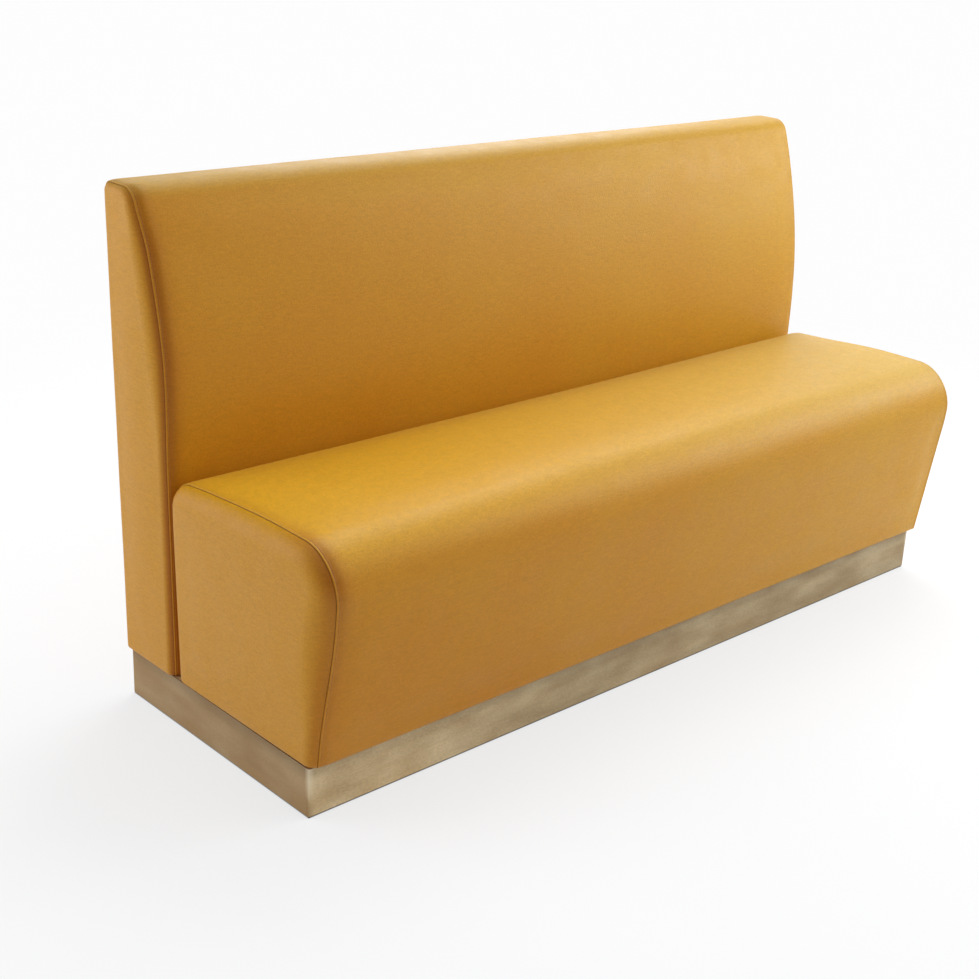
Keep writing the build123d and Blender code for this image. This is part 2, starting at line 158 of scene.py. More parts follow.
# The sockets that a mix of colours uses
MIX_SHARE, MIX_FIRST, MIX_SECOND = 0, 6, 7
MIX_RESULT = 2


def mixed(tree, share, first, second, blend="MIX"):
    """Two colours mixed by a share, which is a number or a socket."""
    inputs = {MIX_SHARE: share, MIX_FIRST: first, MIX_SECOND: second}
    made = node(tree, "ShaderNodeMix", inputs, data_type="RGBA", blend_type=blend)
    return made.outputs[MIX_RESULT]


def colour(text):
    """Linear colour of six hexadecimal digits."""
    parts = [int(text[i : i + 2], 16) / 255 for i in (0, 2, 4)]
    linear = [p / 12.92 if p <= 0.04045 else ((p + 0.055) / 1.055) ** 2.4 for p in parts]
    return (*linear, 1)


def bump(tree, height, strength, distance, normal=None):
    inputs = {"Height": height, "Strength": strength, "Distance": distance}
    if normal is not None:
        inputs["Normal"] = normal
    return node(tree, "ShaderNodeBump", inputs).outputs["Normal"]


def grey(tree, value):
    return node(tree, "ShaderNodeCombineColor", {0: value, 1: value, 2: value}).outputs[0]


def tinted(tree, toned, value):
    """A colour multiplied by one value."""
    return mixed(tree, 1.0, toned, grey(tree, value), "MULTIPLY")


GRAIN_SCALE = 330
GRAIN_DEPTH = 0.40 * MM
CREASE_SCALE = (70, 70, 300)
CREASE_DEPTH = 0.9 * MM
SWELL_DEPTH = 2.0 * MM
SEAT_TONES_TO = 0.60
TONES_FADE = 0.03
SEAM_SHADE_TINT = (0.62, 0.43, 0.10, 1)
SHEEN_TINT = (1.0, 0.93, 0.78, 1)


def leatherette(name, deep, pale, lit_top, highlit_top, ridge, side, valley):
    """Coated cloth with a fine pebble grain.

    Its tone goes from deep at the lower left to pale at the upper right, painted shade and light
    with a slow random tone on it. Faces that look up have their own painted light: on the seat it
    goes from lit_top at the left to highlit_top, a painted highlight, at the right, and on the
    back it is ridge, a painted shade. Side is a painted lighter tone for the ends and valley a
    painted shade for the grain's hollows, and the cloth beside the seams is painted dark, as
    shade.
    """
    material, tree, shader = new_material(name)
    place = object_place(tree)
    x, _, z = split_up(tree, place)
    # Painted shade towards the lower left and painted light towards the upper right, with a slow
    # random tone
    drift = plus(tree, times(tree, x, 0.42), times(tree, z, 0.5))
    wide = noise(tree, place, 3.1, 3)
    drift = plus(tree, drift, ramp(tree, wide, 0.3, 0.7, -0.16, 0.16))
    fine = noise(tree, place, 420, 3, 0.6)
    creases = noise(tree, stretched(tree, place, CREASE_SCALE), 1.0, 3, 0.6, 0.8)
    pebble = node(
        tree,
        "ShaderNodeTexVoronoi",
        {"Vector": place, "Scale": GRAIN_SCALE, "Smoothness": 0.6, "Randomness": 0.95},
        feature="SMOOTH_F1",
    ).outputs["Distance"]
    toned = mixed(tree, ramp(tree, drift, -0.25, 0.8, 0.0, 1.0), deep, pale)
    normal = node(tree, "ShaderNodeNewGeometry").outputs["Normal"]
    facing_x, _, facing_z = split_up(tree, normal)
    # Painted light on faces that look up: on the seat a lit tone that turns to a painted highlight
    # at the right, on the back's top a painted shade
    on_back = ramp(tree, z, SEAT_TONES_TO - TONES_FADE, SEAT_TONES_TO, 0.0, 1.0)
    upward = ramp(tree, facing_z, 0.35, 0.95, 0.0, 1.0)
    highlight_share = ramp(tree, x, -0.45, 0.80, 0.0, 1.0)
    seat_tone = mixed(tree, highlight_share, lit_top, highlit_top)
    toned = mixed(tree, upward, toned, mixed(tree, on_back, seat_tone, ridge))
    # Painted light: faces that look sideways, the ends, take a paler tone
    sideways = math_node(tree, "ABSOLUTE", facing_x)
    toned = mixed(tree, ramp(tree, sideways, 0.75, 0.98, 0.0, 0.8), toned, side)
    # Painted shade in the grain's hollows
    toned = mixed(tree, ramp(tree, pebble, 0.30, 0.75, 0.0, 0.20), toned, valley)
    toned = tinted(tree, toned, ramp(tree, fine, 0.35, 0.65, 0.96, 1.04))
    # Painted shade in the creases' hollows and painted light on their crests, following the
    # creases' bump
    toned = tinted(tree, toned, ramp(tree, creases, 0.3, 0.7, 0.92, 1.05))
    # Painted shade: a dark band beside the seams, from a share that the meshes carry at each point
    seam_shade = node(tree, "ShaderNodeAttribute", attribute_name="seam_shade").outputs["Fac"]
    darkened = mixed(tree, 1.0, toned, SEAM_SHADE_TINT, "MULTIPLY")
    swell = bump(tree, noise(tree, place, 38, 2), 0.10, SWELL_DEPTH)
    soft = bump(tree, creases, 0.22, CREASE_DEPTH, swell)
    grain = plus(tree, times(tree, pebble, -1.0), fine)
    looks = {
        "Base Color": mixed(tree, seam_shade, toned, darkened),
        "Roughness": ramp(tree, noise(tree, place, 24, 4), 0.3, 0.7, 0.42, 0.52),
        "Normal": bump(tree, grain, 0.35, GRAIN_DEPTH, soft),
        "Specular IOR Level": 0.33,
        "Sheen Weight": 0.05,
        "Sheen Roughness": 0.45,
        "Sheen Tint": SHEEN_TINT,
    }
    feed(tree, shader, looks)
    return material


def brushed_metal(name):
    """Champagne sheet, brushed along its length and cloudy.

    It is paler near its left end. Its ends are painted browner, as shade, its top edge is painted
    darker, as the cushion's shadow, and where it is bent round the corners it has a painted
    highlight high up and is browner low down.
    """
    material, tree, shader = new_material(name)
    x, y, z = split_up(tree, object_place(tree))
    along = math_node(tree, "SUBTRACT", x, y)
    unrolled = node(tree, "ShaderNodeCombineXYZ", {"X": along, "Y": 0.0, "Z": z}).outputs[0]

    def marks(scale, detail, roughness):
        return noise(tree, stretched(tree, unrolled, scale), 1.0, detail, roughness)

    hairs = marks((7, 1, 900), 4, 0.6)
    fine_hairs = marks((60, 1, 2400), 3, 0.6)
    streaks = marks((6, 1, 110), 3, 0.5)
    clouds = marks((9, 1, 24), 2, 0.45)
    stains = marks((6.5, 1, 16), 2, 0.5)
    speckle = marks((150, 1, 300), 3, 0.7)
    cloudy = ramp(tree, clouds, 0.32, 0.68, 0.0, 1.0)
    toned = mixed(tree, cloudy, colour("AB946F"), colour("C3B08C"))
    front = math_node(tree, "SUBTRACT", y, PLINTH_FRONT)
    on_end = ramp(tree, front, 0.001, 0.004, 0.0, 1.0)
    low = ramp(tree, z, 0.012, 0.070, 0.75, 0.05)
    low = times(tree, low, ramp(tree, on_end, 0.0, 1.0, 0.45, 1.0))
    warm = times(tree, ramp(tree, stains, 0.38, 0.66, 0.0, 0.8), low)
    toned = mixed(tree, warm, toned, colour("B08A56"))
    toned = tinted(tree, toned, ramp(tree, streaks, 0.3, 0.7, 0.95, 1.04))
    toned = tinted(tree, toned, ramp(tree, hairs, 0.3, 0.7, 0.94, 1.04))
    toned = tinted(tree, toned, ramp(tree, speckle, 0.3, 0.7, 0.84, 1.10))
    toned = tinted(tree, toned, ramp(tree, x, -0.65, -0.20, 1.27, 0.92))
    # Painted shade: the plinth's ends are darker and browner
    toned = mixed(tree, ramp(tree, on_end, 0.0, 1.0, 0.0, 0.65), toned, colour("8E6A3C"))
    # Painted shadow of the cushion along the top edge
    toned = tinted(tree, toned, ramp(tree, z, 0.064, 0.088, 1.0, 0.74))
    # A painted highlight up the bent corners, and browner low down on them
    inside = math_node(tree, "SUBTRACT", HALF_PLINTH, math_node(tree, "ABSOLUTE", x))
    bend = ramp(tree, math_node(tree, "MAXIMUM", inside, front), 0.001, 0.011, 1.0, 0.0)
    bend_highlight = times(tree, bend, ramp(tree, z, 0.030, 0.065, 0.0, 0.55))
    toned = mixed(tree, bend_highlight, toned, colour("E6D8BC"))
    bend_browner_low = times(tree, bend, ramp(tree, z, 0.012, 0.040, 0.45, 0.0))
    gloss = ramp(tree, clouds, 0.3, 0.7, 0.50, 0.43)
    looks = {
        "Base Color": mixed(tree, bend_browner_low, toned, colour("7C5A36")),
        "Metallic": 0.75,
        "Roughness": plus(tree, gloss, ramp(tree, hairs, 0.3, 0.7, -0.04, 0.04)),
        "Normal": bump(tree, plus(tree, hairs, fine_hairs), 0.14, 0.08 * MM),
    }
    feed(tree, shader, looks)
    return material


PLIES_PER_METRE = 333.0


def timber(name, light, dark, along, laminated=None):
    """Wood with its grain along an axis, and plies across another where it is laminated."""
    material, tree, shader = new_material(name)
    place = object_place(tree)
    squeeze = [26.0, 26.0, 26.0]
    squeeze[along] = 1.6
    rings = noise(tree, stretched(tree, place, squeeze), 1.0, 5, 0.55, 1.4)
    fibre = noise(tree, stretched(tree, place, [s * 22 for s in squeeze]), 1.0, 3, 0.6)
    toned = mixed(tree, ramp(tree, rings, 0.35, 0.65, 0.0, 1.0), light, dark)
    toned = tinted(tree, toned, ramp(tree, fibre, 0.3, 0.7, 0.86, 1.08))
    if laminated is not None:
        across = split_up(tree, place)[laminated]
        ply = math_node(tree, "FRACT", times(tree, across, PLIES_PER_METRE))
        ply = math_node(tree, "GREATER_THAN", ply, 0.5)
        normal = node(tree, "ShaderNodeNewGeometry").outputs["True Normal"]
        facing = split_up(tree, normal)[laminated]
        edge = math_node(tree, "LESS_THAN", math_node(tree, "ABSOLUTE", facing), 0.5)
        share = times(tree, times(tree, ply, edge), 0.55)
        toned = mixed(tree, share, toned, colour("7A5632"))
    looks = {
        "Base Color": toned,
        "Roughness": 0.72,
        "Normal": bump(tree, plus(tree, rings, fibre), 0.3, 0.4 * MM),
    }
    feed(tree, shader, looks)
    return material


def zinc_plate(name):
    """Zinc with its spangle, here and there a little yellow."""
    material, tree, shader = new_material(name)
    place = object_place(tree)
    spangle = node(tree, "ShaderNodeTexVoronoi", {"Vector": place, "Scale": 420})
    value = node(tree, "ShaderNodeRGBToBW", {0: spangle.outputs["Color"]}).outputs[0]
    patches = noise(tree, place, 90, 4)
    value = ramp(tree, value, 0.2, 0.8, 0.0, 1.0)
    toned = mixed(tree, value, colour("A9ACAE"), colour("C9CBC9"))
    yellow = ramp(tree, patches, 0.5, 0.75, 0.0, 0.5)
    looks = {
        "Base Color": mixed(tree, yellow, toned, colour("B5A878")),
        "Metallic": 1.0,
        "Roughness": ramp(tree, patches, 0.3, 0.7, 0.28, 0.44),
        "Normal": bump(tree, patches, 0.15, 0.2 * MM),
    }
    feed(tree, shader, looks)
    return material


def moulded_nylon(name):
    """Black nylon with a fine moulded texture."""
    material, tree, shader = new_material(name)
    place = object_place(tree)
    speckle = noise(tree, place, 900, 3)
    share = ramp(tree, speckle, 0.3, 0.7, 0, 1)
    looks = {
        "Base Color": mixed(tree, share, colour("1B1B1C"), colour("29292A")),
        "Roughness": ramp(tree, noise(tree, place, 60, 3), 0.3, 0.7, 0.42, 0.6),
        "Normal": bump(tree, speckle, 0.3, 0.1 * MM),
    }
    feed(tree, shader, looks)
    return material


def waxed_thread(name):
    """Thread with the slanting twist of its plies."""
    material, tree, shader = new_material(name)
    twist = node(
        tree,
        "ShaderNodeTexWave",
        {"Vector": object_place(tree), "Scale": 520, "Distortion": 0.6, "Detail": 1},
        bands_direction="DIAGONAL",
    ).outputs["Fac"]
    looks = {
        "Base Color": mixed(tree, twist, colour("A4711F"), colour("D9AE5C")),
        "Roughness": 0.6,
        "Normal": bump(tree, twist, 0.4, 0.1 * MM),
    }
    feed(tree, shader, looks)
    return material


# Besides the cloth's colour, these tones carry painted shade and light: across the booth, on faces
# that look up or sideways, and in the grain's hollows.
skin_material = leatherette(
    "mustard_leatherette",
    deep=colour("CF8808"),
    pale=colour("D7A425"),
    lit_top=colour("DFA710"),
    highlit_top=colour("CDA84A"),
    ridge=colour("BE920F"),
    side=colour("D59A2A"),
    valley=colour("B07408"),
)
thread_material = waxed_thread("mustard_thread")
metal_material = brushed_metal("champagne_sheet")
zinc_material = zinc_plate("zinc_plated_steel")
nylon_material = moulded_nylon("black_nylon")
BIRCH = (colour("D8BC8E"), colour("BF9A66"))
PINE = (colour("DDBB82"), colour("C0905A"))
X_AXIS, Y_AXIS, Z_AXIS = 0, 1, 2
ply_x = timber("birch_ply_upright", *BIRCH, Z_AXIS, X_AXIS)
ply_y = timber("birch_ply_facing", *BIRCH, X_AXIS, Y_AXIS)
ply_z = timber("birch_ply_flat", *BIRCH, X_AXIS, Z_AXIS)
pine_long = timber("pine_long", *PINE, X_AXIS)
pine_cross = timber("pine_cross", *PINE, Y_AXIS)

# Each material with how the names of its nodes begin
NODE_MATERIALS = [
    (metal_material, ["kick_wrap", "rear_kick_plate"]),
    (zinc_material, ["leveller_stem", "leveller_tee_nuts", "block_", "deck_", "fixing_"]),
    (nylon_material, ["leveller_pad"]),
    (pine_long, ["leveller_blocks", "seat_front_rail", "seat_rear_rail", "back_bottom_rail"]),
    (pine_cross, ["plinth_cross_rails"]),
    (ply_x, ["plinth_end_rail", "seat_ribs", "seat_end_panel", "back_ribs", "back_end_rib"]),
    (ply_y, ["plinth_front_rail", "plinth_rear_rail", "seat_front_panel"]),
    (ply_y, ["seat_rear_panel", "back_front_panel", "back_rear_panel"]),
    (ply_z, ["seat_deck", "back_top_rail"]),
]
for material, starts in NODE_MATERIALS:
    for name, cad_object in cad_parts.items():
        if name.startswith(tuple(starts)):
            cad_object.data.materials.clear()
            cad_object.data.materials.append(material)

# Cushion forms, in metres: the same driving sizes as the solids

UPHOLSTERY_BOTTOM = 0.0903
HALF_END = 0.824

SEAT_TOP = 0.472
SEAT_TOE = -0.256703
SEAT_RAKE = math.tan(math.radians(7.5))
SEAT_REAR = 0.136997
SEAT_CREST = -0.155703
SEAT_DROP = 0.014
NOSE_RADIUS = 0.080
SEAT_REAR_ROUND = 0.044

BACK_FRONT = 0.137297
BACK_REAR = 0.298297
BACK_TOP = 0.928
LEAN_HEIGHT = 0.5
BACK_TOP_DEPTH = 0.082
BACK_FRONT_ROUND = 0.036
BACK_REAR_ROUND = 0.018

HEM = 0.025
TOE_HEIGHT = 0.09
SEAT_FOOT = 0.0075
BACK_FOOT = 0.0055
ARC_STEP = 0.01
ARC_MARGIN = 0.035


def unit(vector):
    return vector / np.linalg.norm(vector, axis=-1, keepdims=True)


def travelled(points):
    """How far along a line each of its points lies."""
    return np.concatenate([[0], np.cumsum(np.linalg.norm(np.diff(points, axis=0), axis=1))])


def sampled(at, along, points):
    """A line's places at distances along it, from its points' distances and places."""
    return np.stack([np.interp(at, along, column) for column in points.T], axis=1)


ARC_POINTS = 25


def rounded_path(points, radii):
    """Dense open path through 2D points with its inner corners rounded, and their places on it."""
    path, marks = [np.array(points[0], float)], []
    for before, corner, after, radius in zip(points, points[1:], points[2:], radii):
        corner = np.array(corner, float)
        if radius == 0:
            path.append(corner)
            continue
        toward, onward = unit(before - corner), unit(after - corner)
        half = math.acos(float(toward @ onward)) / 2
        centre = corner + unit(toward + onward) * radius / math.sin(half)
        start = corner + toward * radius / math.tan(half) - centre
        end = corner + onward * radius / math.tan(half) - centre
        sweep = math.pi - 2 * half
        arc = []
        for share in np.linspace(0, 1, ARC_POINTS):
            spoke = math.sin((1 - share) * sweep) * start + math.sin(share * sweep) * end
            arc.append(centre + spoke / math.sin(sweep))
        marks.append(len(path) + len(arc) // 2)
        path.extend(arc)
    path.append(np.array(points[-1], float))
    return np.array(path), marks


FINE_STEP = 0.5 * MM
BEND_WINDOW = 31
BEND_STEP = 0.16
FEWEST_STEPS = 4
MATCH_TRIES = 40


def spread(path, spacing):
    """Points along a path, nearer together where it bends."""
    along = travelled(path)
    fine = np.linspace(0, along[-1], int(along[-1] / FINE_STEP) + 2)
    dense = sampled(fine, along, path)
    headings = np.unwrap(np.arctan2(*np.diff(dense, axis=0).T[::-1]))
    turn = np.abs(np.diff(headings, prepend=headings[0]))
    kernel = np.ones(BEND_WINDOW) / BEND_WINDOW
    turn = np.convolve(np.pad(turn, BEND_WINDOW // 2, mode="edge"), kernel, mode="valid")
    load = np.concatenate([[0], np.cumsum(np.diff(fine) / spacing + turn / BEND_STEP)])
    count = max(int(round(load[-1])), FEWEST_STEPS)
    at = np.interp(np.linspace(0, load[-1], count + 1), load, fine)
    return sampled(at, fine, dense)


def matched(path, count):
    """A given number of steps along another path, spread as spread() would."""
    spacing = 0.02
    for _ in range(MATCH_TRIES):
        found = len(spread(path, spacing)) - 1
        if found == count:
            break
        spacing *= found / count if found > FEWEST_STEPS else 0.5
    result = spread(path, spacing)
    if len(result) - 1 == count:
        return result
    steps = np.linspace(0, len(result) - 1, count + 1)
    return sampled(steps, np.arange(len(result)), result)


def smooth_step(value, low, high):
    t = np.clip((value - low) / (high - low), 0, 1)
    return t * t * (3 - 2 * t)


def eased(along, stations, values):
    """Values between stations along an outline, with soft changes."""
    result = np.full(len(along), values[0], float)
    for low, high, before, after in zip(stations, stations[1:], values, values[1:]):
        result += (after - before) * smooth_step(along, low, high)
    return result


class Form:
    """A cushion's side outline, and how its ends stand and are rounded off."""

    def __init__(self, name, spacing):
        facts = CUSHIONS[name]
        path, marks = rounded_path(*facts["outline"]())
        self.top = facts["top"]
        rise = spread(path[: marks[0] + 1], spacing)
        over = spread(path[marks[0] : marks[-1] + 1], spacing)
        fall = matched(path[marks[-1] :], len(rise) - 1)
        self.rise, self.over = len(rise) - 1, len(over) - 1
        self.path = np.concatenate([rise, over[1:], fall[1:]])
        tangents = unit(np.gradient(self.path, axis=0))
        self.normals = np.stack([-tangents[:, 1], tangents[:, 0]], axis=1)
        along = travelled(self.path)
        along = along / along[-1]
        self.before, self.after, self.stand = {}, {}, {}
        for side, end in facts["ends"].items():
            self.before[side] = eased(along, facts["stations"], end["before"])
            self.after[side] = eased(along, facts["stations"], end["after"])
            self.stand[side] = end["stand"]
        self.turn = math.radians(facts["turn"])
        self.seam_shade = eased(along, facts["stations"], facts["seam_shade"])

    def end_x(self, z, side):
        share = (z - UPHOLSTERY_BOTTOM) / (self.top - UPHOLSTERY_BOTTOM)
        bottom_out, top_out = self.stand[side]
        return HALF_END + bottom_out + (top_out - bottom_out) * share

    def limit(self, side):
        """How far past the seam each point's rounding ends, where the flat of the end begins."""
        return self.after[side] * (math.pi / 2 - self.turn)

    def section(self, reach, side):
        """Places and normals of the outline's points, at a reach past the seam round an end."""
        before, after, turn = self.before[side], self.after[side], self.turn
        theta = turn + np.where(np.asarray(reach) < 0, reach / before, reach / after)
        level = np.minimum(theta, 0) * before
        theta = np.clip(theta, 0, math.pi / 2)
        wrapped, ended = np.minimum(theta, turn), np.maximum(theta, turn)
        inset = before * (1 - np.cos(wrapped)) + after * (math.cos(turn) - np.cos(ended))
        short = after * (1 - np.sin(ended)) + before * (math.sin(turn) - np.sin(wrapped))
        flat = self.path - self.normals * inset[:, None]
        x = self.end_x(flat[:, 1], side) - short + level
        sign = LEFT_RIGHT[side]
        places = np.column_stack([sign * x, flat])
        tilted = self.normals * np.cos(theta)[:, None]
        return places, np.column_stack([sign * np.sin(theta), tilted])


def seat_points():
    foot = UPHOLSTERY_BOTTOM + SEAT_FOOT
    radius = ((SEAT_REAR - SEAT_CREST) ** 2 + SEAT_DROP**2) / (2 * SEAT_DROP)

    def front(z):
        return SEAT_TOE - SEAT_RAKE * (z - TOE_HEIGHT)

    points = [(front(foot), foot), (front(SEAT_TOP), SEAT_TOP), (SEAT_CREST, SEAT_TOP)]
    radii = [NOSE_RADIUS, 0]
    for y in np.arange(SEAT_CREST + ARC_STEP, SEAT_REAR - ARC_MARGIN, ARC_STEP):
        points.append((y, SEAT_TOP - radius + math.sqrt(radius**2 - (y - SEAT_CREST) ** 2)))
        radii.append(0)
    points += [(SEAT_REAR, SEAT_TOP - SEAT_DROP), (SEAT_REAR, foot)]
    radii.append(SEAT_REAR_ROUND)
    return points, radii


def back_points():
    foot = UPHOLSTERY_BOTTOM + BACK_FOOT
    rise, run = BACK_TOP - LEAN_HEIGHT, BACK_REAR - BACK_FRONT - BACK_TOP_DEPTH
    radius = (rise**2 + run**2) / (2 * run)
    points, radii = [(BACK_FRONT, foot), (BACK_FRONT, LEAN_HEIGHT)], [0]
    for z in np.arange(LEAN_HEIGHT + ARC_STEP, BACK_TOP - ARC_MARGIN, ARC_STEP):
        y = BACK_FRONT + radius - math.sqrt(radius**2 - (z - LEAN_HEIGHT) ** 2)
        points.append((y, z))
        radii.append(0)
    points.append((BACK_REAR - BACK_TOP_DEPTH, BACK_TOP))
    points += [(BACK_REAR, BACK_TOP), (BACK_REAR, foot)]
    radii += [BACK_FRONT_ROUND, BACK_REAR_ROUND]
    return points, radii


# "stations" are places on the outline, from 0 at the front's foot to 1 at the rear's. At each of
# them, "before" is the radius of the wrap's rounding, up to the seam, "after" that of the end
# panel's, beyond it, and "seam_shade" how dark the painted shade beside the seam is. "turn" is
# the angle at the seam, in degrees, and "stand" how far the end stands out at the bottom and at
# the top.
CUSHIONS = {
    "seat": {
        "outline": seat_points,
        "top": SEAT_TOP,
        "turn": 22,
        "stations": (0.02, 0.22, 0.32, 0.46, 0.60, 0.76),
        "seam_shade": (0.30, 0.45, 1.0, 0.30, 0.20, 0.30),
        "ends": {
            "left": {
                "before": (0.040, 0.040, 0.042, 0.040, 0.034, 0.028),
                "after": (0.024, 0.044, 0.040, 0.044, 0.040, 0.030),
                "stand": (0.0, 0.009),
            },
            "right": {
                "before": (0.018, 0.018, 0.026, 0.026, 0.044, 0.030),
                "after": (0.014, 0.016, 0.034, 0.030, 0.046, 0.032),
                "stand": (0.011, 0.014),
            },
        },
    },
    "back": {
        "outline": back_points,
        "top": BACK_TOP,
        "turn": 35,
        "stations": (0.22, 0.34, 0.42, 0.47, 0.50, 0.54),
        "seam_shade": (0.80, 0.95, 1.0, 0.75, 0.25, 0.30),
        "ends": {
            "left": {
                "before": (0.036, 0.036, 0.036, 0.034, 0.022, 0.016),
                "after": (0.018, 0.034, 0.034, 0.022, 0.018, 0.015),
                "stand": (0.002, 0.011),
            },
            "right": {
                "before": (0.022, 0.022, 0.022, 0.022, 0.018, 0.016),
                "after": (0.014, 0.016, 0.018, 0.018, 0.016, 0.015),
                "stand": (0.003, 0.012),
            },
        },
    },
}
LEFT_RIGHT = {"left": -1, "right": 1}

BEZIER_ARC = 0.55


def bezier_foot(above, start, normals, bottom, rows):
    """Rows of points that turn from the wall at start inwards onto the bottom plane."""
    down = unit(start - above)
    drop = (start[:, 2] - bottom) / -down[:, 2]
    corner = start + down * drop[:, None]
    level = normals.copy()
    level[:, 2] = 0
    level = unit(level)
    end = corner - level * drop[:, None]
    first = start + (corner - start) * BEZIER_ARC
    second = end + (corner - end) * BEZIER_ARC
    made = []
    for t in np.linspace(0, 1, rows + 1)[1:]:
        made.append(
            (1 - t) ** 3 * start
            + 3 * (1 - t) ** 2 * t * first
            + 3 * (1 - t) * t**2 * second
            + t**3 * end
        )
    return made


# The end panel's rows between its fine ones beside the seam and the flat of the end
LAST_ROWS = (0.2, 0.4, 0.6, 0.8, 1.0)


class Panels:
    """The points of a cushion's wrap and end panels, as grids that join one another."""

    def __init__(self, form, spacing, wrap_rows, end_rows):
        self.form = form
        sides = {}
        for side in LEFT_RIGHT:
            found = [form.section(-reach, side) for reach in wrap_rows]
            sides[side] = [list(column) for column in zip(*found)]
        inner_left, inner_right = sides["left"][0][-1], sides["right"][0][-1]
        flat_normals = np.column_stack([np.zeros(len(form.path)), form.normals])
        shares = np.linspace(0, 1, int(2 * HALF_END / spacing) + 1)[1:-1]
        middle = [inner_left + (inner_right - inner_left) * share for share in shares]
        inward = wrap_rows[-1] + np.minimum(shares, 1 - shares) * 2 * HALF_END
        columns = sides["left"][0] + middle + sides["right"][0][::-1]
        normals = sides["left"][1] + [flat_normals] * len(middle)
        normals += sides["right"][1][::-1]
        self.wrap = np.stack(columns, axis=1)
        self.wrap_normals = np.stack(normals, axis=1)
        self.wrap_reach = np.concatenate([wrap_rows, inward, wrap_rows[::-1]])
        self.ends = {}
        for side, sign in LEFT_RIGHT.items():
            limit = form.limit(side)
            last = end_rows[-1]
            rows = [np.full(len(limit), reach) for reach in end_rows]
            rows += [last + (limit - last) * share for share in LAST_ROWS]
            found = [form.section(reach, side) for reach in rows]
            strip = np.stack([places for places, _ in found], axis=1)
            self.ends[side] = {
                "strip": strip,
                "strip_normals": np.stack([normals for _, normals in found], axis=1),
                "strip_reach": np.stack(rows, axis=1),
                "grid": self.filled(strip[:, -1]),
                "normal": np.array([sign, 0, 0], float),
            }

    def filled(self, rim):
        """Grid of points inside an end's rim, blended from its four sides."""
        rise, over = self.form.rise, self.form.over
        front = rim[: rise + 1]
        top = rim[rise : rise + over + 1]
        rear = rim[rise + over :][::-1]
        along, up = travelled(top), travelled(front)
        along, up = along / along[-1], up / up[-1]
        bottom = front[0] + along[:, None] * (rear[0] - front[0])
        u, v = along[None, :, None], up[:, None, None]
        sides = (1 - u) * front[:, None] + u * rear[:, None]
        sides = sides + (1 - v) * bottom[None] + v * top[None]
        corners = (1 - u) * (1 - v) * front[0] + u * (1 - v) * rear[0]
        corners = corners + (1 - u) * v * top[0] + u * v * top[-1]
        return sides - corners


WELD = 0.01 * MM
SLIVER = 0.002 * MM


class Builder:
    """Gathers grids of points into one mesh, joining points that coincide."""

    def __init__(self):
        self.points, self.faces, self.values, self.size = [], [], [], 0

    def grid(self, points, values=0.0):
        rows, columns = points.shape[:2]
        self.values.append(np.broadcast_to(values, (rows, columns)).reshape(-1))
        index = np.arange(rows * columns).reshape(rows, columns) + self.size
        quads = np.stack(
            [index[:-1, :-1], index[:-1, 1:], index[1:, 1:], index[1:, :-1]], axis=-1
        ).reshape(-1, 4)
        self.faces.append(quads)
        self.points.append(points.reshape(-1, 3))
        self.size += rows * columns

    def mesh(self, name, close=False):
        points = np.concatenate(self.points)
        faces = np.concatenate(self.faces)
        data = bpy.data.meshes.new(name)
        data.from_pydata(points.tolist(), [], faces.tolist())
        # Each point's share of the painted shade beside the seams
        seam_shade = data.attributes.new("seam_shade", "FLOAT", "POINT")
        seam_shade.data.foreach_set("value", np.concatenate(self.values).astype(np.float32))
        edit = bmesh.new()
        edit.from_mesh(data)
        bmesh.ops.remove_doubles(edit, verts=edit.verts, dist=WELD)
        bmesh.ops.dissolve_degenerate(edit, edges=edit.edges, dist=SLIVER)
        if close:
            rims = [edge for edge in edit.edges if edge.is_boundary]
            bmesh.ops.holes_fill(edit, edges=rims, sides=0)
        bmesh.ops.recalc_face_normals(edit, faces=edit.faces)
        edit.to_mesh(data)
        edit.free()
        data.polygons.foreach_set("use_smooth", [True] * len(data.polygons))
        return data


def hem_rows(start, form, counts):
    """Rows from the foot inwards under the cushion, to the hem's mitred inner edge."""
    y = form.path[:, 0]
    inner = start.copy()
    inner[:, 0] = np.clip(inner[:, 0], -HALF_END + HEM, HALF_END - HEM)
    front, rear = y[0] + HEM, y[-1] - HEM
    inner[:, 1] = np.clip(inner[:, 1], front, rear)
    shares = np.linspace(0, 1, counts + 1)[1:]
    return [start + (inner - start) * share for share in shares]


def foot(chain_above, chain, normals, form, rows=5, hems=4):
    """Grid from a chain of points round the foot and along the hem."""
    turned = bezier_foot(chain_above, chain, normals, UPHOLSTERY_BOTTOM, rows)
    return np.stack([chain, *turned, *hem_rows(turned[-1], form, hems)], axis=0)


# The wrap's lowest rows of points, in front and at the rear, with the rows above them
WRAP_ENDS = ((0, 1), (-1, -2))


def end_chain(end):
    """The end panel's lowest points from front to rear, those above them, and their normals."""
    strip, grid, normals = end["strip"], end["grid"], end["strip_normals"]
    chain = np.concatenate([strip[0], grid[0, 1:-1], strip[-1, ::-1]])
    above = np.concatenate([strip[1], grid[1, 1:-1], strip[-2, ::-1]])
    middle = np.tile(end["normal"], (grid.shape[1] - 2, 1))
    facing = np.concatenate([normals[0], middle, normals[-1, ::-1]])
    return above, chain, facing


# Padding under tension: each closed form is blown up a little as cloth, and the way that its
# points move is kept as a field

CLOTH_SPACING = 0.028
CLOTH_FRAMES = 12
CLOTH_PRESSURE = 0.22
CLOTH_STIFFNESS = 120
COARSE_WRAP_ROWS = np.array([0.0, 8, 18]) * MM
COARSE_END_ROWS = np.array([0.0, 3]) * MM
COARSE_FOOT_ROWS = (2, 2)
FIRM = 0.02


